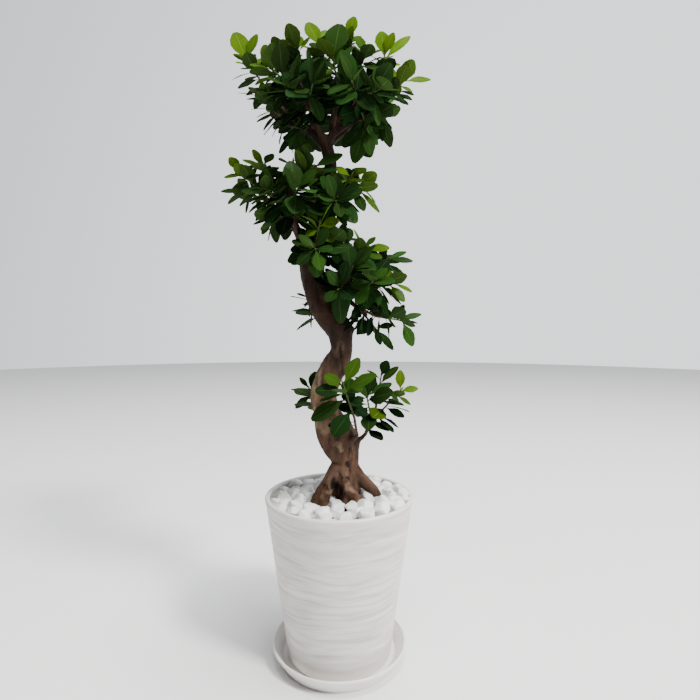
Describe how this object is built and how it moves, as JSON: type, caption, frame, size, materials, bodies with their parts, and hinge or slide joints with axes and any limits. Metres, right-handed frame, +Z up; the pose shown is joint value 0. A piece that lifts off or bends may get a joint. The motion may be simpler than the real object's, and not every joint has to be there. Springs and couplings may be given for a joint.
{
  "type": "potted chinese banyan",
  "caption": "S-curved Chinese banyan with tiers of glossy oval leaves, in a tapered white pot topped with white stones, on a round saucer.",
  "frame": {"origin": "centre of the saucer's flat underside, on the surface that the object stands on", "axes": "+Z up along the pot's axis, -Y towards the viewer of the picture, +X to that viewer's right"},
  "size_m": [0.4229, 0.3229, 1.2946],
  "materials": {
    "pot_white": "satin white with horizontal brushed ripples, smooth at the foot and the lip",
    "saucer_white": "smooth white with a soft sheen",
    "potting_soil": "dark crumbly potting mix of bark and peat",
    "white_marble": "rough broken white marble",
    "banyan_bark": "brown living bark with pale patches and fine pores",
    "banyan_leaf": "glossy waxy leaf, dark green above and lime green when young"
  },
  "bodies": {
    "root": {"saucer": "saucer_white", "pot": "pot_white", "soil": "potting_soil", "pebbles": "white_marble", "wood": "banyan_bark", "crown_shoot_1": "banyan_leaf", "crown_shoot_2": "banyan_leaf", "crown_shoot_3": "banyan_leaf", "crown_shoot_4": "banyan_leaf", "crown_shoot_5": "banyan_leaf", "crown_shoot_6": "banyan_leaf", "crown_shoot_7": "banyan_leaf", "crown_shoot_8": "banyan_leaf", "crown_shoot_9": "banyan_leaf", "crown_shoot_10": "banyan_leaf", "crown_shoot_11": "banyan_leaf", "crown_shoot_12": "banyan_leaf", "crown_shoot_13": "banyan_leaf", "crown_shoot_14": "banyan_leaf", "crown_shoot_15": "banyan_leaf", "crown_shoot_16": "banyan_leaf", "crown_shoot_17": "banyan_leaf", "crown_shoot_18": "banyan_leaf", "crown_shoot_19": "banyan_leaf", "crown_shoot_20": "banyan_leaf", "crown_shoot_21": "banyan_leaf", "crown_shoot_22": "banyan_leaf", "crown_shoot_23": "banyan_leaf", "crown_shoot_24": "banyan_leaf", "shoulder_shoot_1": "banyan_leaf", "shoulder_shoot_2": "banyan_leaf", "shoulder_shoot_3": "banyan_leaf", "shoulder_shoot_4": "banyan_leaf", "shoulder_shoot_5": "banyan_leaf", "shoulder_shoot_6": "banyan_leaf", "shoulder_shoot_7": "banyan_leaf", "shoulder_shoot_8": "banyan_leaf", "shoulder_shoot_9": "banyan_leaf", "shoulder_shoot_10": "banyan_leaf", "shoulder_shoot_11": "banyan_leaf", "shoulder_shoot_12": "banyan_leaf", "shoulder_shoot_13": "banyan_leaf", "waist_shoot_1": "banyan_leaf", "waist_shoot_2": "banyan_leaf", "waist_shoot_3": "banyan_leaf", "waist_shoot_4": "banyan_leaf", "waist_shoot_5": "banyan_leaf", "waist_shoot_6": "banyan_leaf", "waist_shoot_7": "banyan_leaf", "waist_shoot_8": "banyan_leaf", "waist_shoot_9": "banyan_leaf", "waist_shoot_10": "banyan_leaf", "waist_shoot_11": "banyan_leaf", "waist_shoot_12": "banyan_leaf", "waist_shoot_13": "banyan_leaf", "foot_shoot_1": "banyan_leaf", "foot_shoot_2": "banyan_leaf", "foot_shoot_3": "banyan_leaf", "foot_shoot_4": "banyan_leaf", "foot_shoot_5": "banyan_leaf"}
  },
  "joints": []
}
